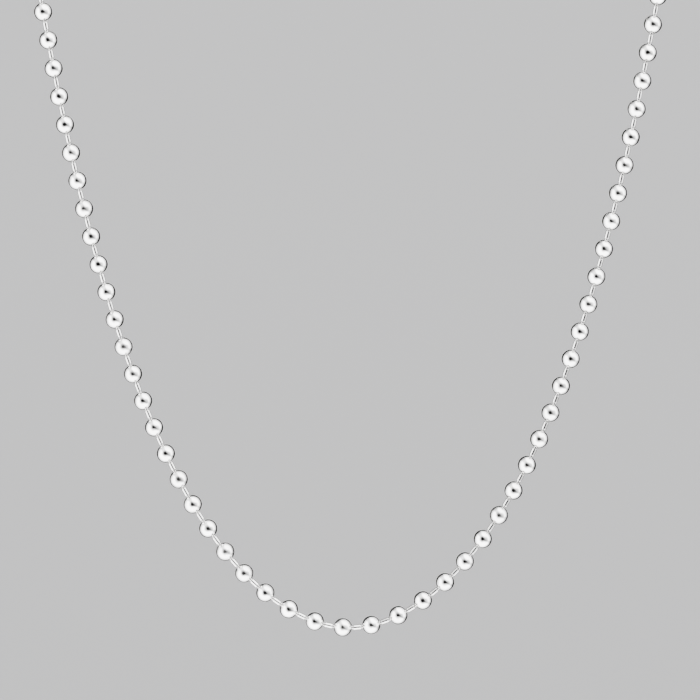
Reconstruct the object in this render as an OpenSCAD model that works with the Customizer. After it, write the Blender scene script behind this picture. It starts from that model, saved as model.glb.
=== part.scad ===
// Ball chain necklace, in the form it takes when it is worn.
// Hollow rolled beads are joined by headed bars, and a snap clasp holds the two end beads at the nape.
// Millimetres. The origin is the chain's centre line at the nape, +Z is up and -Y is the wearer's front.

/* [Beads] */
// Outside diameter of a bead
bead_d = 3; // [2.8:0.1:3.6]
// Thickness of the sheet that a bead is rolled from
bead_wall = 0.2; // [0.15:0.01:0.25]
// Number of beads on the chain
bead_count = 101; // [93:1:111]

/* [Link bars] */
// Diameter of the bar that shows between two beads
bar_d = 0.8; // [0.7:0.05:0.9]
// Distance between two beads
bar_gap = 1.5; // [1.2:0.1:2]
// Diameter of the thinner neck at each end of a bar, which goes through a bead's hole
bar_neck_d = 0.58; // [0.5:0.02:0.66]
// Length of neck that shows outside a bead's hole
bar_neck_show = 0.15; // [0.14:0.01:0.25]
// Length of the shoulder that slopes from a neck to the full bar
bar_shoulder = 0.16; // [0.1:0.02:0.24]
// How far a head stands out all round the neck
head_lip = 0.24; // [0.18:0.01:0.28]
// Thickness of a head
head_t = 0.3; // [0.2:0.05:0.4]
// Gap all round the neck in a bead's hole
hole_gap = 0.13; // [0.12:0.01:0.16]

/* [Clasp] */
// Distance between the centres of the two end beads in the clasp
clasp_reach = 6; // [5:0.25:8]
// Thickness of the clasp's sheet
clasp_wall = 0.3; // [0.2:0.05:0.5]
// Gap between an end bead and the clasp round it
clasp_gap = 0.15; // [0.12:0.01:0.3]
// Turn of the clasp's slot about the chain, from straight back towards up
clasp_turn = 40; // [0:5:90]
// How far the clasp has slid along the chain's route from the middle of the nape
clasp_slip = 1; // [-10:0.5:10]

/* [Fit on the neck] */
// Width between the points where the two strands leave the neck
neck_w = 100; // [90:1:110]
// How far in front of the nape those points lie
neck_reach = 61; // [53:1:69]
// How far below the nape those points lie
neck_fall = 33; // [21:1:45]
// Slope of the chest under the strands, from upright
chest_lean = 15; // [0:1:30]

/* [Hidden] */
$fn = 48;

// Extra pull at the lowest beads, which makes the hanging curve a little more pointed than a pure one
droop = 0.118;
droop_w = 0.063 * neck_w;
// Pull of the curve round the neck, at the nape and where a strand leaves the neck
nape_pull = 0.42 * neck_w;
strand_pull = 0.36 * neck_w;
// Steps of the route: round the neck, and down the strand
neck_steps = 90;
strand_steps = 140;
solve_steps = 40;

bead_r = bead_d / 2;
bead_inner_r = bead_r - bead_wall;
pitch = bead_d + bar_gap;
loop_length = (bead_count - 1) * pitch + clasp_reach;
bar_neck_r = bar_neck_d / 2;
hole_r = bar_neck_r + hole_gap;
head_r = bar_neck_r + head_lip;
head_play = 0.12;
silver = "gainsboro";

// Hyperbolic cosine and sine, and the inverse of the sine
function cosh(v) = (exp(v) + exp(-v)) / 2;
function sinh(v) = (exp(v) - exp(-v)) / 2;
function asinh(v) = ln(v + sqrt(v * v + 1));

// Height of a strand over its lowest point at the distance x from the middle, and its slope there
function strand_height(x, hang) =
    hang * (cosh(x / hang) - 1) + droop * (sqrt(x * x + droop_w * droop_w) - droop_w);
function strand_slope(x, hang) =
    sinh(x / hang) + droop * x / sqrt(x * x + droop_w * droop_w);

// Direction up the chest, the point where a strand leaves the neck, and a strand's direction there
up_chest = [0, sin(chest_lean), cos(chest_lean)];
strand_top = [neck_w / 2, -neck_reach, -neck_fall];
function strand_direction(hang) = unit([1, 0, 0] + strand_slope(neck_w / 2, hang) * up_chest);

function unit(v) = v / norm(v);
function bezier(p, q, r, s, t) =
    (1 - t) ^ 3 * p + 3 * (1 - t) ^ 2 * t * q + 3 * (1 - t) * t ^ 2 * r + t ^ 3 * s;

// Half of the loop: round the neck from the nape, then down the strand to its lowest point
function round_neck(hang) = [
    for (i = [0 : neck_steps - 1])
        bezier(
            [0, 0, 0],
            [nape_pull, 0, 0],
            strand_top + strand_pull * strand_direction(hang),
            strand_top,
            i / neck_steps
        )
];
function down_strand(hang) = [
    for (i = [strand_steps : -1 : 0])
        let (x = hang * asinh(i / strand_steps * sinh(neck_w / 2 / hang)))
        let (rise = strand_height(x, hang) - strand_height(neck_w / 2, hang))
        [x, strand_top.y, strand_top.z] + rise * up_chest
];
function half_route(hang) = concat(round_neck(hang), down_strand(hang));

// Running length along a list of points
function running(p, i = 1, sums = [0]) =
    i == len(p) ? sums : running(p, i + 1, concat(sums, sums[i - 1] + norm(p[i] - p[i - 1])));
function route_length(p) = let (sums = running(p)) sums[len(sums) - 1];

// The hanging curve's size, found by halving, at which the loop has the chain's length
function solve_hang(low, high, n) =
    let (middle = (low + high) / 2)
    n == 0 ? middle :
    route_length(half_route(middle)) > loop_length / 2 ?
        solve_hang(middle, high, n - 1) : solve_hang(low, middle, n - 1);
hang = solve_hang(neck_w / 12, 2 * neck_w, solve_steps);

route = half_route(hang);
route_s = running(route);
route_x = [for (i = [0 : len(route) - 1]) [route_s[i], route[i].x]];
route_y = [for (i = [0 : len(route) - 1]) [route_s[i], route[i].y]];
route_z = [for (i = [0 : len(route) - 1]) [route_s[i], route[i].z]];

// Point and direction at the distance s along the whole loop, from the nape towards +X
function on_half(s) = [lookup(s, route_x), lookup(s, route_y), lookup(s, route_z)];
function mirrored(p) = [-p.x, p.y, p.z];
function on_loop(s) =
    s < 0 ? mirrored(on_half(-s)) :
    s > loop_length ? on_half(s - loop_length) :
    s > loop_length / 2 ? mirrored(on_half(loop_length - s)) : on_half(s);
function along_loop(s) = unit(on_loop(s + pitch / 4) - on_loop(s - pitch / 4));

// Place of each bead along the loop, its centre and the direction of its two holes
function bead_s(i) = clasp_slip + clasp_reach / 2 + i * pitch;
centres = [for (i = [0 : bead_count - 1]) on_loop(bead_s(i))];
axes = [for (i = [0 : bead_count - 1]) along_loop(bead_s(i))];

// A bar swings about the middle of a bead's hole, and it swings most at the lowest beads.
// There the rim of its head stays clear of the bead's inner wall.
hole_seat = (sqrt(bead_r ^ 2 - hole_r ^ 2) + sqrt(bead_inner_r ^ 2 - hole_r ^ 2)) / 2;
bar_swing = 90 / PI * pitch * (1 / hang + droop / droop_w);
head_seat = hole_seat * (1 - cos(bar_swing))
    + sqrt((bead_inner_r - head_play) ^ 2 - (head_r + hole_seat * sin(bar_swing)) ^ 2);
bar_length = pitch - 2 * head_seat;
neck_start = pitch / 2 - sqrt(bead_r ^ 2 - hole_r ^ 2) - bar_neck_show;

// Turns a piece that lies along Z to a direction, and moves it to a point
module placed(point, direction) {
    translate(point)
        rotate([0, acos(direction.z), atan2(direction.y, direction.x)])
            children();
}

// A hollow ball with a hole at each end
module bead() {
    difference() {
        sphere(r = bead_r);
        sphere(r = bead_inner_r);
        cylinder(r = hole_r, h = 2 * bead_d, center = true);
    }
}

// A bar with a sloping shoulder, a neck and an upset head at each end
module link_bar() {
    rotate_extrude()
        polygon([
            [0, -bar_length / 2 - head_t],
            [head_r - head_lip / 2, -bar_length / 2 - head_t],
            [head_r, -bar_length / 2 - head_t / 2],
            [head_r, -bar_length / 2],
            [bar_neck_r, -bar_length / 2],
            [bar_neck_r, -neck_start],
            [bar_d / 2, bar_shoulder - neck_start],
            [bar_d / 2, neck_start - bar_shoulder],
            [bar_neck_r, neck_start],
            [bar_neck_r, bar_length / 2],
            [head_r, bar_length / 2],
            [head_r, bar_length / 2 + head_t / 2],
            [head_r - head_lip / 2, bar_length / 2 + head_t],
            [0, bar_length / 2 + head_t]
        ]);
}

// A tube with ball-shaped ends, round the centres of the two end beads
module ball_ended_tube(r) {
    cylinder(r = r, h = clasp_reach, center = true);
    for (end = [-1, 1])
        translate([0, 0, end * clasp_reach / 2])
            sphere(r = r);
}

module beads() {
    color(silver)
        for (i = [0 : bead_count - 1])
            placed(centres[i], axes[i])
                bead();
}

module link_bars() {
    color(silver)
        for (i = [0 : bead_count - 2])
            let (from = centres[i] + hole_seat * axes[i])
            let (to = centres[i + 1] - hole_seat * axes[i + 1])
            placed((from + to) / 2, unit(to - from))
                link_bar();
}

// One folded sleeve: a slot along it takes the wires, and a window in its middle lets an end bead in
module clasp() {
    slot_w = bar_d + 4 * clasp_gap;
    window_r = bead_r + clasp_gap / 2;
    sleeve_r = bead_r + clasp_gap + clasp_wall;
    sleeve_h = clasp_reach + 2 * sleeve_r;
    color(silver)
        placed((centres[0] + centres[bead_count - 1]) / 2, unit(centres[0] - centres[bead_count - 1]))
            rotate([0, 0, 90 + clasp_turn])
                difference() {
                    ball_ended_tube(sleeve_r);
                    ball_ended_tube(bead_r + clasp_gap);
                    cylinder(d = slot_w, h = sleeve_h + 2 * clasp_wall, center = true);
                    translate([0, -slot_w / 2, -sleeve_h / 2 - clasp_wall])
                        cube([sleeve_r + clasp_wall, slot_w, sleeve_h + 2 * clasp_wall]);
                    rotate([0, 90, 0])
                        cylinder(r = window_r, h = sleeve_r + clasp_wall);
                }
}

beads();
link_bars();
clasp();
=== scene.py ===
"""Looks of a polished silver ball chain necklace, hung as it is worn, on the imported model's frame."""

import math

import bmesh
import bpy
import numpy as np
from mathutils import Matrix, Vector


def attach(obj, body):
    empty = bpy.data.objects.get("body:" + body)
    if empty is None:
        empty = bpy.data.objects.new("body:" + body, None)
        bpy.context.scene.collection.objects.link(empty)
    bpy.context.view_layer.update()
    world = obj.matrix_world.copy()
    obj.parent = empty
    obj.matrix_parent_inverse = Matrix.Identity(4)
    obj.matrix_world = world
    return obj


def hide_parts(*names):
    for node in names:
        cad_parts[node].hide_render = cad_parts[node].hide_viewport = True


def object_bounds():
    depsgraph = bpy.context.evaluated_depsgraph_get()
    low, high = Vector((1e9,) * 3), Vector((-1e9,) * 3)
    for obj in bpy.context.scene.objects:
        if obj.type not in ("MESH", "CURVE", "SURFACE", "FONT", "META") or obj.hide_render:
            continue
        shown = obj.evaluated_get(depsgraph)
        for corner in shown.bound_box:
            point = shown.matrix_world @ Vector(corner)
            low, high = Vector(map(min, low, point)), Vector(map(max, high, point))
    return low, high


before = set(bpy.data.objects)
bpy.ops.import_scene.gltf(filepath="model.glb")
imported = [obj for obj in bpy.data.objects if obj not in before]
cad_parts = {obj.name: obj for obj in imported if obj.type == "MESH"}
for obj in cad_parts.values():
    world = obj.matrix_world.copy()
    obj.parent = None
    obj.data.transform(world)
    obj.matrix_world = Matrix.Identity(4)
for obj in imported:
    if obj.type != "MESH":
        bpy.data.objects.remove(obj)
cad_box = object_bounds()
mm = 0.001

# The string of beads. Each is a hollow ball rolled from thin sterling silver sheet, with a hole at
# either end whose lip is turned in, and it is barrel polished until it mirrors. The beads follow
# the run of the chain: round the neck from the clasp, then down the chest in a hanging curve.
bead_r = 1.5 * mm
bead_wall = 0.2 * mm
bead_hole_r = 0.42 * mm
bead_count = 101
bead_pitch = 4.5 * mm
clasp_reach = 6 * mm
clasp_slip = 1 * mm
loop_length = (bead_count - 1) * bead_pitch + clasp_reach

neck_w = 100 * mm
neck_reach = 61 * mm
neck_fall = 33 * mm
chest_lean = math.radians(15)
droop = 0.118
droop_w = 0.063 * neck_w
nape_pull = 0.42 * neck_w
strand_pull = 0.36 * neck_w
neck_steps = 90
strand_steps = 140
solve_steps = 40

up_chest = np.array([0, math.sin(chest_lean), math.cos(chest_lean)])
strand_top = np.array([neck_w / 2, -neck_reach, -neck_fall])


def unit(vectors):
    """v / |v|, for each row."""
    return vectors / np.linalg.norm(vectors, axis=-1, keepdims=True)


def strand_height(x, hang):
    """Height over the lowest point: hang (cosh(x / hang) - 1) + droop (sqrt(x^2 + w^2) - w)."""
    return hang * (np.cosh(x / hang) - 1) + droop * (np.hypot(x, droop_w) - droop_w)


def half_route(hang):
    """Half of the loop. Round the neck it is the cubic 3(1-t)^2 t q + 3(1-t) t^2 r + t^3 s, from the
    nape at the origin. Down the strand it is the hanging curve, laid on the slope of the chest."""
    end_slope = math.sinh(neck_w / 2 / hang) + droop * neck_w / 2 / math.hypot(neck_w / 2, droop_w)
    leaving = unit(np.array([1, 0, 0]) + end_slope * up_chest)
    t = np.arange(neck_steps)[:, None] / neck_steps
    round_neck = (
        3 * (1 - t) ** 2 * t * [nape_pull, 0, 0]
        + 3 * (1 - t) * t**2 * (strand_top + strand_pull * leaving)
        + t**3 * strand_top
    )
    share = np.linspace(1, 0, strand_steps + 1)
    x = hang * np.arcsinh(share * math.sinh(neck_w / 2 / hang))
    rise = strand_height(x, hang) - strand_height(neck_w / 2, hang)
    down_strand = [0, *strand_top[1:]] + rise[:, None] * up_chest
    down_strand[:, 0] = x
    return np.concatenate([round_neck, down_strand])


def running_length(points):
    """Length from the first point to each point."""
    return np.append(0, np.cumsum(np.linalg.norm(np.diff(points, axis=0), axis=1)))


# The hanging curve's size is found by halving: it gives the loop the chain's real length.
low, high = neck_w / 12, 2 * neck_w
for halving in range(solve_steps):
    hang = (low + high) / 2
    if running_length(half_route(hang))[-1] > loop_length / 2:
        low = hang
    else:
        high = hang
route = half_route(hang)
route_s = running_length(route)


def on_loop(s):
    """Points at the distances s round the whole loop. Past its lowest point the half is mirrored in x."""
    s = np.mod(s, loop_length)
    near = np.minimum(s, loop_length - s)
    points = np.stack([np.interp(near, route_s, route[:, axis]) for axis in range(3)], axis=1)
    points[:, 0] *= np.where(s > loop_length / 2, -1, 1)
    return points


bead_s = clasp_slip + clasp_reach / 2 + bead_pitch * np.arange(bead_count)
bead_centres = on_loop(bead_s)
bead_axes = unit(on_loop(bead_s + bead_pitch / 4) - on_loop(bead_s - bead_pitch / 4))


def turned(profile, columns, rolls):
    """Surfaces of revolution about Z, one for each roll: (r cos u, r sin u, z) at the angles u + roll."""
    u = rolls[:, None] + 2 * math.pi * np.arange(columns) / columns
    r, z = profile.T
    ring = np.stack([np.cos(u), np.sin(u), np.ones_like(u)], axis=-1)[:, None]
    return ring * np.stack([r, r, z], axis=-1)[None, :, None]


upright_tip = 0.01


def carried(points, origins, axes):
    """Points given along Z are carried to each origin, with Z along its axis: o + x a + y b + z axis.
    The side a is square to the axis and to an upright that is tipped so that no axis lies along it."""
    tipped_up = [0.0, 0.0, 1.0] + upright_tip * axes[:, ::-1]
    side = unit(np.cross(axes, tipped_up))
    frames = np.stack([side, np.cross(axes, side), axes], axis=1)
    return origins[:, None, None] + np.einsum("nrci,nij->nrcj", points, frames)


def grid_faces(copies, rows, columns, closed_rows=False):
    """Four-cornered faces of grids whose columns close round, and whose rows do if asked. The point in
    row i and column j of copy k has the number (k rows + i) columns + j."""
    row = np.arange(rows if closed_rows else rows - 1)[:, None]
    column = np.arange(columns)[None]
    next_row, next_column = (row + 1) % rows * columns, (column + 1) % columns
    face = np.stack(
        [row * columns + column, row * columns + next_column, next_row + next_column, next_row + column],
        axis=-1,
    )
    start = rows * columns * np.arange(copies)[:, None, None, None]
    return (start + face).reshape(-1, 4)


def new_piece(name, points, faces):
    """A smooth mesh object of the points and faces, with its faces turned outwards as they are given."""
    mesh = bpy.data.meshes.new(name)
    mesh.from_pydata(points.reshape(-1, 3).tolist(), [], faces.tolist())
    mesh.shade_smooth()
    piece = bpy.data.objects.new(name, mesh)
    bpy.context.scene.collection.objects.link(piece)
    return piece


def point_values(piece, name, values):
    """Keeps a number for each point of the mesh, or a row of three, for the material to read."""
    values = np.asarray(values, np.float32)
    kind, key = ("FLOAT_VECTOR", "vector") if values.shape[-1:] == (3,) else ("FLOAT", "value")
    piece.data.attributes.new(name, kind, "POINT").data.foreach_set(key, values.ravel())


def arc(r, start, end, steps, centre=(0, 0)):
    """Points of a circle's arc in the (r, z) half plane: centre + r (sin a, cos a), from start to end."""
    a = np.linspace(start, end, steps + 1)
    return np.stack([centre[0] + r * np.sin(a), centre[1] + r * np.cos(a)], axis=1)


bead_columns = 34
bead_arc_steps = 17
bead_inner_steps = 6
lip_steps = 3
lip_r = bead_wall / 2
lip_ring_r = bead_r - lip_r
lip_angle = math.asin((bead_hole_r + lip_r) / lip_ring_r)
lip_centre = np.array([math.sin(lip_angle), math.cos(lip_angle)]) * lip_ring_r
outside = arc(bead_r, lip_angle, math.pi - lip_angle, bead_arc_steps)
low_lip = arc(lip_r, math.pi - lip_angle, -lip_angle, lip_steps, lip_centre * [1, -1])
inside = arc(bead_r - bead_wall, math.pi - lip_angle, lip_angle, bead_inner_steps)
high_lip = arc(lip_r, lip_angle - math.pi, lip_angle - 2 * math.pi, lip_steps, lip_centre)
bead_profile = np.concatenate([outside, low_lip[1:-1], inside, high_lip[1:-1]])

random = np.random.default_rng(3)
bead_rolls = random.uniform(0, 2 * math.pi, bead_count)
bead_points = turned(bead_profile, bead_columns, bead_rolls)
beads = new_piece(
    "polished_beads",
    carried(bead_points, bead_centres, bead_axes),
    grid_faces(bead_count, len(bead_profile), bead_columns, closed_rows=True)[:, ::-1],
)

# How dark each point is painted, partly tarnish and partly painted shade of the hole: 0 in the open,
# more beside a hole, and 1 on its lip and inside.
dull_reach = math.radians(9)
dull_at_hole = 0.75
from_axis = np.arctan2(bead_profile[:, 0], np.abs(bead_profile[:, 1]))
beside_hole = np.clip(1 - (from_axis - lip_angle) / dull_reach, 0, 1)
from_centre = np.linalg.norm(bead_profile, axis=1)
bead_recess = np.clip((bead_r - from_centre) / lip_r, dull_at_hole * beside_hole, 1)
point_values(beads, "recess", np.broadcast_to(bead_recess[:, None], bead_points.shape[:3]))
bead_tone = random.uniform(0, 1, bead_count)
point_values(beads, "tone", np.broadcast_to(bead_tone[:, None, None], bead_points.shape[:3]))


class Value:
    """A number worked out by nodes. Python's operators on it add the Math nodes of the sum."""

    def __init__(self, tree, socket):
        self.tree, self.socket = tree, socket

    def combined(self, operation, *terms):
        """One Math node, with the terms as its inputs."""
        node = self.tree.nodes.new("ShaderNodeMath")
        node.operation = operation
        for socket, term in zip(node.inputs, terms):
            if isinstance(term, Value):
                self.tree.links.new(term.socket, socket)
            else:
                socket.default_value = term
        return Value(self.tree, node.outputs[0])

    def __add__(self, other):
        return self.combined("ADD", self, other)

    def __sub__(self, other):
        return self.combined("SUBTRACT", self, other)

    def __rsub__(self, other):
        return self.combined("SUBTRACT", other, self)

    def __mul__(self, other):
        return self.combined("MULTIPLY", self, other)

    def __truediv__(self, other):
        return self.combined("DIVIDE", self, other)

    def __pow__(self, other):
        return self.combined("POWER", self, other)

    def __abs__(self):
        return self.combined("ABSOLUTE", self)

    __radd__ = __add__
    __rmul__ = __mul__

    def above(self, low, high):
        """0 below low and 1 above high, with the smooth rise t^2 (3 - 2t) between them."""
        t = self.combined("MAXIMUM", (self - low) / (high - low), 0.0)
        t = self.combined("MINIMUM", t, 1.0)
        return t * t * (3 - 2 * t)


class Nodes:
    """The node tree of a material or of the world, filled one node at a time."""

    def __init__(self, owner):
        owner.use_nodes = True
        self.tree = owner.node_tree
        self.tree.nodes.clear()

    def add(self, kind, settings, *in_order, **by_name):
        """Adds a node of that kind, makes its settings, then gives its sockets their values or links:
        the first ones in order, and others by name, with _ for a space. The node is returned."""
        node = self.tree.nodes.new("ShaderNode" + kind)
        for name, setting in settings.items():
            setattr(node, name, setting)
        sockets = [socket for socket in node.inputs if socket.enabled]
        named = {socket.name.replace(" ", "_"): socket for socket in sockets}
        chosen = list(zip(sockets, in_order)) + [(named[name], given) for name, given in by_name.items()]
        for socket, given in chosen:
            given = given.socket if isinstance(given, Value) else given
            if isinstance(given, bpy.types.NodeSocket):
                self.tree.links.new(given, socket)
            else:
                socket.default_value = given
        return node

    def value(self, node, output=0):
        return Value(self.tree, node.outputs[output])

    def kept(self, name):
        """A number that the mesh keeps for each point."""
        return self.value(self.add("Attribute", {"attribute_name": name}), "Fac")

    def patches(self, place, size, detail=3.0):
        """Soft patches of about that size, from 0 to 1 and mostly near 0.5."""
        return self.value(
            self.add("TexNoise", {}, Vector=place, Scale=1 / size, Detail=detail, Roughness=0.6)
        )


darkening_roughness = 0.14


def silver(nodes, bright, dull, darkening, haze, relief):
    """Sterling silver. Its colour goes from bright to dull with the darkening, which is tarnish and, on
    the beads and wires, painted shade of the holes as well, and its gloss drops with it. The haze is its
    roughness where it is clean, and the relief is the height of its dents and marks."""
    colour = nodes.add(
        "Mix",
        {"data_type": "RGBA", "clamp_factor": True},
        Factor=darkening,
        A=(*bright, 1),
        B=(*dull, 1),
    )
    uneven = nodes.add("Bump", {}, Strength=1.0, Distance=1.0, Height=relief)
    surface = nodes.add(
        "BsdfPrincipled",
        {},
        Base_Color=colour.outputs["Result"],
        Metallic=1.0,
        Roughness=haze + darkening_roughness * darkening,
        Normal=uneven.outputs["Normal"],
    )
    nodes.add("OutputMaterial", {}, Surface=surface.outputs["BSDF"])


# Tumbling leaves shallow dents in the thin sheet, and a haze of finer marks on them, more on some
# beads than on others. Inside the holes, on their turned-in lips and in a ring beside them the colour
# is darkened, partly tarnish and partly painted shade, and there is a breath of tarnish elsewhere.
polished_colour = (0.95, 0.945, 0.935)
# The dark colour serves both for tarnish and for the painted shade of the holes.
tarnish_and_shade_colour = (0.1, 0.094, 0.088)
dent_size = 1.1 * mm
dent_depth = 0.055 * mm
cloud_size = 0.9 * mm
mark_size = 0.1 * mm
mark_depth = 0.0008 * mm
recess_shade_and_tarnish = 0.7
recess_cloud = 0.5
breath_tarnish = 0.1
clean_haze = 0.01
bead_haze = 0.18
cloud_haze = 0.04
mark_haze = 0.05

bead_silver = bpy.data.materials.new("polished_silver_bead")
bead_nodes = Nodes(bead_silver)
place = bead_nodes.add("TexCoord", {}).outputs["Object"]
dents = bead_nodes.patches(place, dent_size, detail=1.0)
cloud = bead_nodes.patches(place, cloud_size)
marks = bead_nodes.patches(place, mark_size, detail=4.0)
recess = bead_nodes.kept("recess")
tone = bead_nodes.kept("tone")
silver(
    bead_nodes,
    bright=polished_colour,
    dull=tarnish_and_shade_colour,
    # Darkened in and beside the holes, partly tarnish and partly painted shade
    darkening=(
        recess * (recess_shade_and_tarnish + recess_cloud * cloud)
        + breath_tarnish * tone * cloud.above(0.4, 0.8)
    ),
    haze=(
        clean_haze
        + bead_haze * tone**2
        + cloud_haze * cloud.above(0.45, 0.7)
        + mark_haze * marks.above(0.5, 0.8)
    ),
    relief=dent_depth * dents + mark_depth * marks,
)
beads.data.materials.append(bead_silver)
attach(beads, "root")
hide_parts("beads")

# The link bars. Each is a piece of drawn silver wire with a round shoulder and a thinner neck at
# either end. The necks go through the holes of two beads, and their ends are upset into heads inside,
# so that the beads swing and turn on them but can't come off.
bar_r = 0.4 * mm
neck_r = 0.29 * mm
neck_show = 0.15 * mm
shoulder_t = 0.16 * mm
shoulder_steps = 5
head_lip = 0.24 * mm
head_t = 0.3 * mm
head_play = 0.12 * mm
head_fillet = 0.1 * mm
bar_columns = 20
weld_reach = 0.001 * mm


def weld(piece):
    """Joins the points that coincide, which closes the poles of turned shapes."""
    shape = bmesh.new()
    shape.from_mesh(piece.data)
    bmesh.ops.remove_doubles(shape, verts=shape.verts, dist=weld_reach)
    shape.to_mesh(piece.data)
    shape.free()


head_r = neck_r + head_lip
bead_inner_r = bead_r - bead_wall
hole_mouth = math.sqrt(bead_r**2 - bead_hole_r**2)
hole_seat = (hole_mouth + math.sqrt(bead_inner_r**2 - bead_hole_r**2)) / 2
bar_swing = bead_pitch / 2 * (1 / hang + droop / droop_w)
head_seat = hole_seat * (1 - math.cos(bar_swing)) + math.sqrt(
    (bead_inner_r - head_play) ** 2 - (head_r + hole_seat * math.sin(bar_swing)) ** 2
)
bar_half = bead_pitch / 2 - head_seat

# Half a bar's profile, from the end of its head inwards. The hammer leaves the head a little domed,
# with a round rim that is fullest near its foot, and a fillet runs from it into the neck.
head_end = bar_half + head_t
dome_fall = 0.1 * head_t
rim_top = bar_half + 0.6 * head_t
rim_top_in = 0.02 * mm
rim_middle = bar_half + 0.3 * head_t
rim_foot_in = 0.03 * mm
fillet_middle = 0.3 * head_fillet

# The neck comes out of the hole at bar_out. Its painted shade and tarnish are full a little way
# into the hole, and fade to none a little way out of it. Extra rings beside the corners keep their
# shading crisp.
bar_out = bead_pitch / 2 - hole_mouth
full_shade_and_tarnish_in = 0.1 * mm
no_shade_and_tarnish_out = 0.08 * mm
mouth_ring = 0.02 * mm
neck_ring = 0.03 * mm
wire_ring = 0.05 * mm

neck_start = bar_out - neck_show
shoulder_start = neck_start - shoulder_t
head_and_neck = [
    [0, head_end],
    [neck_r, head_end],
    [head_r - head_lip / 2, head_end - dome_fall],
    [head_r - rim_top_in, rim_top],
    [head_r, rim_middle],
    [head_r - rim_foot_in, bar_half],
    [neck_r + head_fillet, bar_half],
    [neck_r + fillet_middle, bar_half - fillet_middle],
    [neck_r, bar_half - head_fillet],
    [neck_r, bar_out + full_shade_and_tarnish_in],
    [neck_r, bar_out - mouth_ring],
    [neck_r, neck_start + neck_ring],
]
# The shoulder is a quarter of an ellipse, from the neck out to the full wire.
shoulder = [neck_r, shoulder_start] + [bar_r - neck_r, shoulder_t] * arc(1, 0, math.pi / 2, shoulder_steps)
half_bar = np.concatenate([head_and_neck, shoulder, [[bar_r, shoulder_start - wire_ring]]])
bar_profile = np.concatenate([half_bar, half_bar[::-1] * [1, -1]])
from_holes = bead_centres[:-1] + hole_seat * bead_axes[:-1]
to_holes = bead_centres[1:] - hole_seat * bead_axes[1:]
bar_rolls = random.uniform(0, 2 * math.pi, bead_count - 1)
bar_points = turned(bar_profile, bar_columns, bar_rolls)
bars = new_piece(
    "drawn_link_bars",
    carried(bar_points, (from_holes + to_holes) / 2, unit(to_holes - from_holes)),
    grid_faces(bead_count - 1, len(bar_profile), bar_columns)[:, ::-1],
)
# The neck is painted darker in the hole: painted shade, partly tarnish.
past_no_shade_and_tarnish = np.abs(bar_profile[:, 1]) - bar_out + no_shade_and_tarnish_out
bar_recess = np.clip(past_no_shade_and_tarnish / (no_shade_and_tarnish_out + full_shade_and_tarnish_in), 0, 1)
point_values(bars, "recess", np.broadcast_to(bar_recess[:, None], bar_points.shape[:3]))

# The drawn lines lie on each bar as if it were still straight in one long wire: they are long along
# it, and each bar has its own stretch of them.
line_stretch = 12
wire_apart = 9 * mm
on_wire = bar_points / [1, 1, line_stretch] + wire_apart * np.arange(bead_count - 1)[:, None, None, None]
point_values(bars, "on_wire", on_wire)
weld(bars)

# The drawing die leaves fine lines along the wire, a little darker and hazier than the rest. It is
# darkened where it goes into the beads: partly painted shade of the holes, and partly tarnish where
# no cloth reaches.
wire_colour = (0.94, 0.935, 0.925)
line_size = 0.07 * mm
line_depth = 0.001 * mm
wire_tarnish = 0.15
line_tarnish = 0.25
wire_haze = 0.03
line_haze = 0.04

wire_silver = bpy.data.materials.new("drawn_silver_wire")
wire_nodes = Nodes(wire_silver)
place = wire_nodes.add("TexCoord", {}).outputs["Object"]
along_wire = wire_nodes.add("Attribute", {"attribute_name": "on_wire"}).outputs["Vector"]
cloud = wire_nodes.patches(place, cloud_size)
lines = wire_nodes.patches(along_wire, line_size, detail=4.0)
recess = wire_nodes.kept("recess")
silver(
    wire_nodes,
    bright=wire_colour,
    dull=tarnish_and_shade_colour,
    # Darkened in the holes, partly painted shade and partly tarnish, with tarnish and lines along it
    darkening=(
        recess * (recess_shade_and_tarnish + recess_cloud * cloud)
        + wire_tarnish
        + line_tarnish * lines.above(0.4, 0.65)
    ),
    haze=wire_haze + line_haze * lines.above(0.4, 0.65),
    relief=line_depth * lines,
)
bars.data.materials.append(wire_silver)
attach(bars, "root")
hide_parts("link_bars")

# The snap clasp at the nape. It is one strip of silver sheet, folded round into a sleeve with
# ball-shaped ends, and its cut edges are tumbled round. The slot along it takes the wires, and the
# round window in its middle lets an end bead in.
clasp_wall = 0.3 * mm
clasp_gap = 0.15 * mm
clasp_turn = math.radians(40)
clasp_edge_round = 0.07 * mm
clasp_edge_steps = 3
window_corner_r = 0.3 * mm
clasp_rows = 96
clasp_columns = 72

slot_half = bar_r + 2 * clasp_gap
window_r = bead_r + clasp_gap / 2
sheet_r = bead_r + clasp_gap + clasp_wall / 2
corner_z = math.sqrt((window_r + window_corner_r) ** 2 - (slot_half + window_corner_r) ** 2)
corner_start = corner_z * window_r / (window_r + window_corner_r)


def opening_half_width(z):
    """Half the opening's width at z from the clasp's middle: sqrt(R^2 - z^2) across the round window,
    then an arc of radius c that touches both, slot + c - sqrt(c^2 - (z - corner)^2), then the slot."""
    z = np.abs(z)
    window = np.sqrt(np.maximum(window_r**2 - z**2, 0))
    dip = np.sqrt(np.maximum(window_corner_r**2 - (z - corner_z) ** 2, 0))
    corner = slot_half + window_corner_r - dip
    return np.where(z < corner_start, window, np.where(z < corner_z, corner, slot_half))


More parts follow.
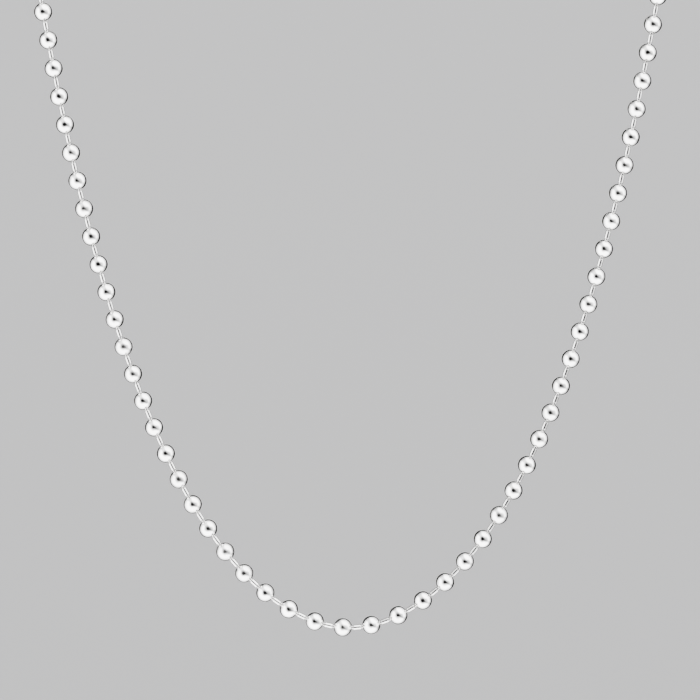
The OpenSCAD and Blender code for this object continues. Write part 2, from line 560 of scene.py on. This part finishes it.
def sleeve(rows, columns):
    """The middle of the clasp's sheet, as (z, r cos u, r sin u) with the opening at u = 0. Along the
    tube r is the sheet's own radius R, and over a ball-shaped end it is R cos(b), b being the angle
    from the tube's end. The angle u runs from one edge of the opening, asin(half width / r), round
    to the other."""
    ball_angle = math.acos(slot_half / sheet_r)
    tube_half = clasp_reach / 2
    s = np.linspace(-1, 1, rows)[:, None] * (tube_half + sheet_r * ball_angle)
    b = np.maximum(np.abs(s) - tube_half, 0) / sheet_r
    r = sheet_r * np.cos(b)
    z = np.sign(s) * (np.minimum(np.abs(s), tube_half) + sheet_r * np.sin(b))
    edge = np.arcsin(np.clip(opening_half_width(z) / r, 0, 1))
    u = math.pi + np.linspace(-1, 1, columns) * (math.pi - edge)
    return np.stack([z + 0 * u, r * np.cos(u), r * np.sin(u)], axis=-1)


clasp_axis = unit(bead_centres[0] - bead_centres[-1])
backwards = unit(np.cross([0, 0, 1], clasp_axis))
upwards = np.cross(clasp_axis, backwards)
slot_way = math.cos(clasp_turn) * backwards + math.sin(clasp_turn) * upwards
clasp_frame = np.stack([clasp_axis, slot_way, np.cross(clasp_axis, slot_way)])
clasp_middle = (bead_centres[0] + bead_centres[-1]) / 2
clasp_open = np.arange(clasp_rows * clasp_columns).reshape(clasp_rows, clasp_columns)
clasp_faces = np.stack(
    [clasp_open[:-1, :-1], clasp_open[:-1, 1:], clasp_open[1:, 1:], clasp_open[1:, :-1]], axis=-1
)
clasp = new_piece(
    "folded_snap_clasp",
    clasp_middle + sleeve(clasp_rows, clasp_columns) @ clasp_frame,
    clasp_faces.reshape(-1, 4),
)
wall = clasp.modifiers.new("wall", "SOLIDIFY")
wall.thickness = clasp_wall
wall.offset = 0
rounding = clasp.modifiers.new("tumbled_edges", "BEVEL")
rounding.width = clasp_edge_round
rounding.segments = clasp_edge_steps

# Skin and cloth leave dull patches on the sheet, and it is brushed along its length.
sheet_colour = (0.94, 0.935, 0.925)
dulled_colour = (0.55, 0.53, 0.5)
patch_size = 1.3 * mm
patch_depth = 0.03 * mm
brushing_size = 0.06 * mm
brushing_depth = 0.001 * mm
brushing_stretch = 25
patch_tarnish = 0.3
sheet_haze = 0.06
brushing_haze = 0.1

clasp_silver = bpy.data.materials.new("polished_silver_sheet")
clasp_nodes = Nodes(clasp_silver)
place = clasp_nodes.add("TexCoord", {}).outputs["Object"]
along_sheet = clasp_nodes.add("Mapping", {}, Vector=place, Scale=(1 / brushing_stretch, 1, 1))
cloud = clasp_nodes.patches(place, patch_size)
brushing = clasp_nodes.patches(along_sheet.outputs["Vector"], brushing_size, detail=4.0)
silver(
    clasp_nodes,
    bright=sheet_colour,
    dull=dulled_colour,
    darkening=patch_tarnish * cloud.above(0.45, 0.75),
    haze=sheet_haze + brushing_haze * brushing.above(0.45, 0.7),
    relief=patch_depth * cloud + brushing_depth * brushing,
)
clasp.data.materials.append(clasp_silver)
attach(clasp, "root")
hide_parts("clasp")

# The floor, a plain pale sheet well under the necklace, and the studio round it: a white tent with a
# hole and a slit for the lens, and with two seams that run from them. Behind the necklace it is open
# to a dark room with a pale backdrop.
floor_gap = 25 * mm
floor_half = 4.0
floor_grey = (0.38, 0.38, 0.385, 1)
floor_z = cad_box[0][2] - floor_gap
floor_corners = floor_half * np.array([[-1, -1], [1, -1], [1, 1], [-1, 1]])
floor = new_piece("floor", np.insert(floor_corners, 2, floor_z, axis=1), np.array([[0, 1, 2, 3]]))
pale = bpy.data.materials.new("pale_floor")
floor_nodes = Nodes(pale)
matt = floor_nodes.add("BsdfPrincipled", {}, Base_Color=floor_grey, Roughness=0.8)
floor_nodes.add("OutputMaterial", {}, Surface=matt.outputs["BSDF"])
floor.data.materials.append(pale)
floor.visible_glossy = False

# Brightness of the tent and of the room, and the shares of the tent's white that the slit and the
# seams take and that the backdrop gives
tent_white = 12.2
room_dark = 0.04
slit_shade = 0.78
high_seam_shade = 0.66
low_seam_shade = 0.58
backdrop_glow = 0.14
seam_fade = 0.3

# Brightness of the soft light on the floor, and the grey past the floor's edge
soft_white = 2.2
pale_grey = (0.8, 0.8, 0.8, 1)

to_camera = np.array([0, -math.cos(chest_lean), math.sin(chest_lean)])
right = np.array([1.0, 0, 0])
world = bpy.data.worlds.new("tent")
bpy.context.scene.world = world
tent_nodes = Nodes(world)
direction = tent_nodes.add("TexCoord", {}).outputs["Generated"]


def towards(way):
    """Cosine of the angle between the ray and a direction."""
    way = unit(np.asarray(way, float))
    dot = tent_nodes.add("VectorMath", {"operation": "DOT_PRODUCT"}, direction, way)
    return tent_nodes.value(dot, "Value")


def round_patch(way, core, rim):
    """1 within the angle core of a direction and 0 past the angle rim, both in degrees."""
    return towards(way).above(math.cos(math.radians(rim)), math.cos(math.radians(core)))


def seam(x, y, core, rim):
    """A band on a great circle that runs from the lens towards x to the right and y up the chest. It
    is 1 where the cosine to the circle's normal is under core, and 0 where it is over rim. It starts
    from nothing at the lens, and is full where the cosine to its run is seam_fade."""
    band = 1 - abs(towards(y * right - x * up_chest)).above(core, rim)
    return band * towards(x * right + y * up_chest).above(0, seam_fade)


lens = round_patch(to_camera - 0.08 * right, core=7, rim=50)
slit = round_patch(to_camera + 0.76 * right - 0.11 * up_chest, core=9, rim=40)
high_seam = seam(-0.53, 0.85, core=0.2, rim=0.44)
low_seam = seam(0.91, -0.42, core=0.07, rim=0.33)
backdrop = round_patch(-to_camera, core=15, rim=40)

# The open back shows least far towards the upper right and the lower left.
behind = towards(0.03 * right + 0.1 * up_chest - to_camera)
aslant = towards(0.36 * right + 0.93 * up_chest)
room = (behind - 0.26 * aslant * aslant).above(-0.6, 0.45)

shaded = (1 - slit_shade * slit) * (1 - high_seam_shade * high_seam) * (1 - low_seam_shade * low_seam)
glow = (1 - lens) * shaded * (1 - room) + backdrop_glow * backdrop

# The silver mirrors the tent, and soft white light falls on the floor. Past the floor's edge the
# camera sees grey.
tent = tent_nodes.add("Background", {}, Strength=tent_white * glow + room_dark * (1 - lens))
soft = tent_nodes.add("Background", {}, Color=(1, 1, 1, 1), Strength=soft_white)
ground = tent_nodes.add("Background", {}, Color=pale_grey, Strength=1.0)
path = tent_nodes.add("LightPath", {}).outputs
lit = tent_nodes.add("MixShader", {}, path["Is Glossy Ray"], soft.outputs[0], tent.outputs[0])
seen = tent_nodes.add("MixShader", {}, path["Is Camera Ray"], lit.outputs[0], ground.outputs[0])
tent_nodes.add("OutputWorld", {}, Surface=seen.outputs[0])

# The camera looks square at the plane that the two strands hang in, from far off. In the photograph
# the beads lie pitch_px apart, the column middle_px runs midway between the strands, and they meet
# lowest in the row lowest_px.
photo_w = 700
pitch_px = 28.716
middle_px = 349.2
lowest_px = 627.4
lens_length = 180
px = bead_pitch / pitch_px
camera_data = bpy.data.cameras.new("camera")
camera_data.lens = lens_length
camera = bpy.data.objects.new("camera", camera_data)
bpy.context.scene.collection.objects.link(camera)
aim = (
    route[-1]
    + (photo_w / 2 - middle_px) * px * right
    + (lowest_px - photo_w / 2) * px * up_chest
)
distance = photo_w * px * lens_length / camera_data.sensor_width
camera.location = aim + distance * to_camera
camera.rotation_euler = (math.pi / 2 - chest_lean, 0, 0)
camera_data.clip_start = 0.01
camera_data.clip_end = 50
bpy.context.scene.camera = camera
